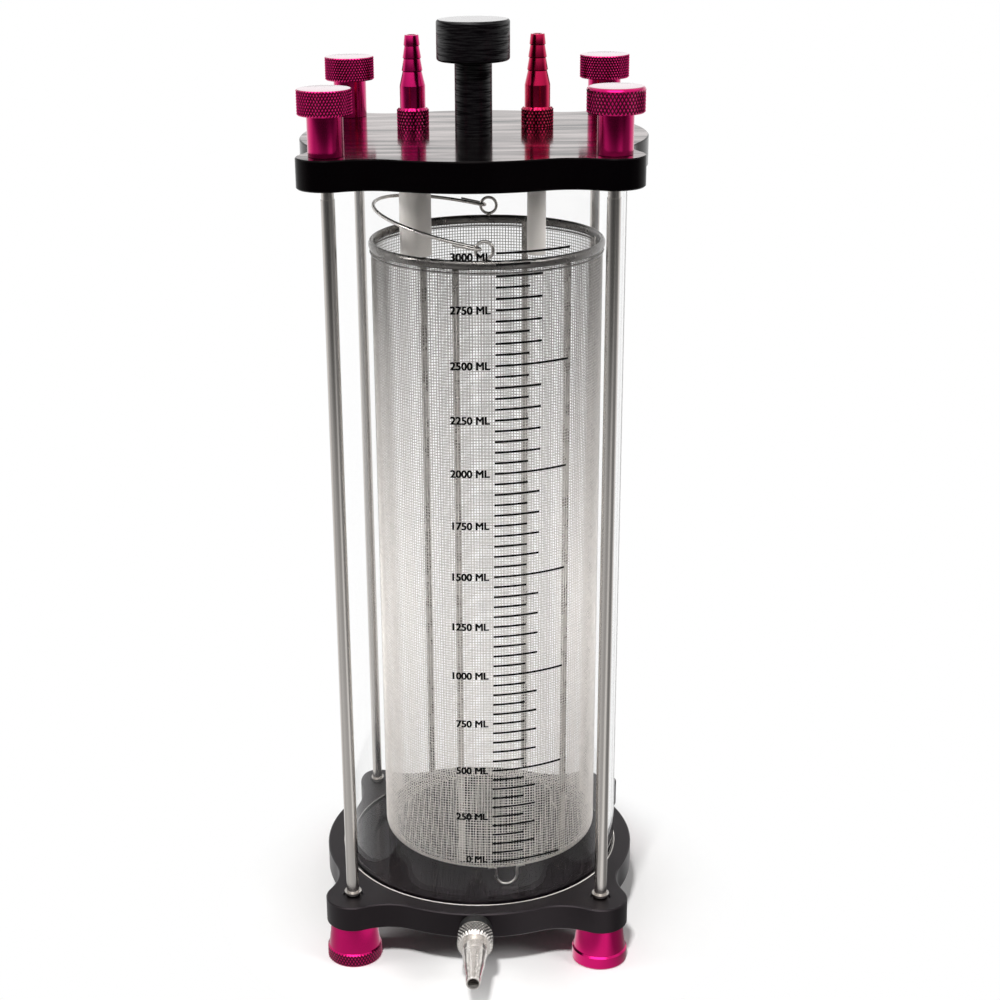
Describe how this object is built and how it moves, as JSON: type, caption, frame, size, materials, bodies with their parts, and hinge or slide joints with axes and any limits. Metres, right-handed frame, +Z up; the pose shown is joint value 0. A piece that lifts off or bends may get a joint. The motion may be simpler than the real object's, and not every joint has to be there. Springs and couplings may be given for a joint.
{
  "type": "suction canister",
  "caption": "Clear suction canister between two black plates on tie rods, with thumb nuts, barbed ports, a drain nozzle and a mesh strainer basket.",
  "frame": {"origin": "centre of the four feet, on the floor, under the axis of the clear cylinder", "axes": "+Z up along the cylinder, -Y towards the drain nozzle, +X to the right seen from the nozzle's side"},
  "size_m": [0.142, 0.1846, 0.4005],
  "materials": {
    "black_satin_anodised": "satin",
    "black_polished_anodised": "polished",
    "clear_acrylic": "gloss",
    "black_rubber": "matte",
    "stainless_rod": "brushed",
    "stainless_turned": "turned",
    "stainless_wire": "satin",
    "stainless_mesh": "woven",
    "magenta_anodised": "satin",
    "black_acetal": "turned",
    "grey_silicone": "matte"
  },
  "bodies": {
    "canister": {"base_plate": "black_satin_anodised", "lid_plate": "black_polished_anodised", "clear_cylinder": "clear_acrylic", "base_gasket": "black_rubber", "lid_gasket": "black_rubber", "nozzle_washer": "black_rubber", "tie_rod_front_left": "stainless_rod", "rod_collar_front_left": "stainless_turned", "foot_front_left": "magenta_anodised", "tie_rod_front_right": "stainless_rod", "rod_collar_front_right": "stainless_turned", "foot_front_right": "magenta_anodised", "tie_rod_back_left": "stainless_rod", "rod_collar_back_left": "stainless_turned", "foot_back_left": "magenta_anodised", "tie_rod_back_right": "stainless_rod", "rod_collar_back_right": "stainless_turned", "foot_back_right": "magenta_anodised", "lid_handle": "black_acetal", "hose_barb_left": "magenta_anodised", "hose_barb_right": "magenta_anodised", "dip_tube_left": "grey_silicone", "dip_tube_right": "grey_silicone", "drain_nozzle": "stainless_turned", "basket_wall": "stainless_mesh", "basket_floor": "stainless_mesh", "basket_rim": "stainless_wire", "basket_rib_1": "stainless_wire", "basket_rib_2": "stainless_wire", "basket_rib_3": "stainless_wire", "basket_rib_4": "stainless_wire", "basket_rib_5": "stainless_wire", "basket_rib_6": "stainless_wire", "basket_foot_1": "stainless_wire", "basket_foot_2": "stainless_wire", "basket_foot_3": "stainless_wire", "eyelet_front": "stainless_wire", "eyelet_back": "stainless_wire"},
    "nut_front_left": {"thumb_nut_front_left": "magenta_anodised"},
    "nut_front_right": {"thumb_nut_front_right": "magenta_anodised"},
    "nut_back_left": {"thumb_nut_back_left": "magenta_anodised"},
    "nut_back_right": {"thumb_nut_back_right": "magenta_anodised"},
    "bail": {"bail": "stainless_wire"}
  },
  "joints": [
    {"name": "turn_nut_front_left", "type": "hinge", "parent": "canister", "child": "nut_front_left", "pos_m": [-0.055, -0.055, 0.36], "axis": [0, 0, 1], "range_deg": [0, 2880]},
    {"name": "turn_nut_front_right", "type": "hinge", "parent": "canister", "child": "nut_front_right", "pos_m": [0.055, -0.055, 0.36], "axis": [0, 0, 1], "range_deg": [0, 2880]},
    {"name": "turn_nut_back_left", "type": "hinge", "parent": "canister", "child": "nut_back_left", "pos_m": [-0.055, 0.055, 0.36], "axis": [0, 0, 1], "range_deg": [0, 2880]},
    {"name": "turn_nut_back_right", "type": "hinge", "parent": "canister", "child": "nut_back_right", "pos_m": [0.055, 0.055, 0.36], "axis": [0, 0, 1], "range_deg": [0, 2880]},
    {"name": "swing_bail", "type": "hinge", "parent": "canister", "child": "bail", "pos_m": [0.005, 0, 0.3178], "axis": [0, 1, 0], "range_deg": [-15, 3]}
  ]
}
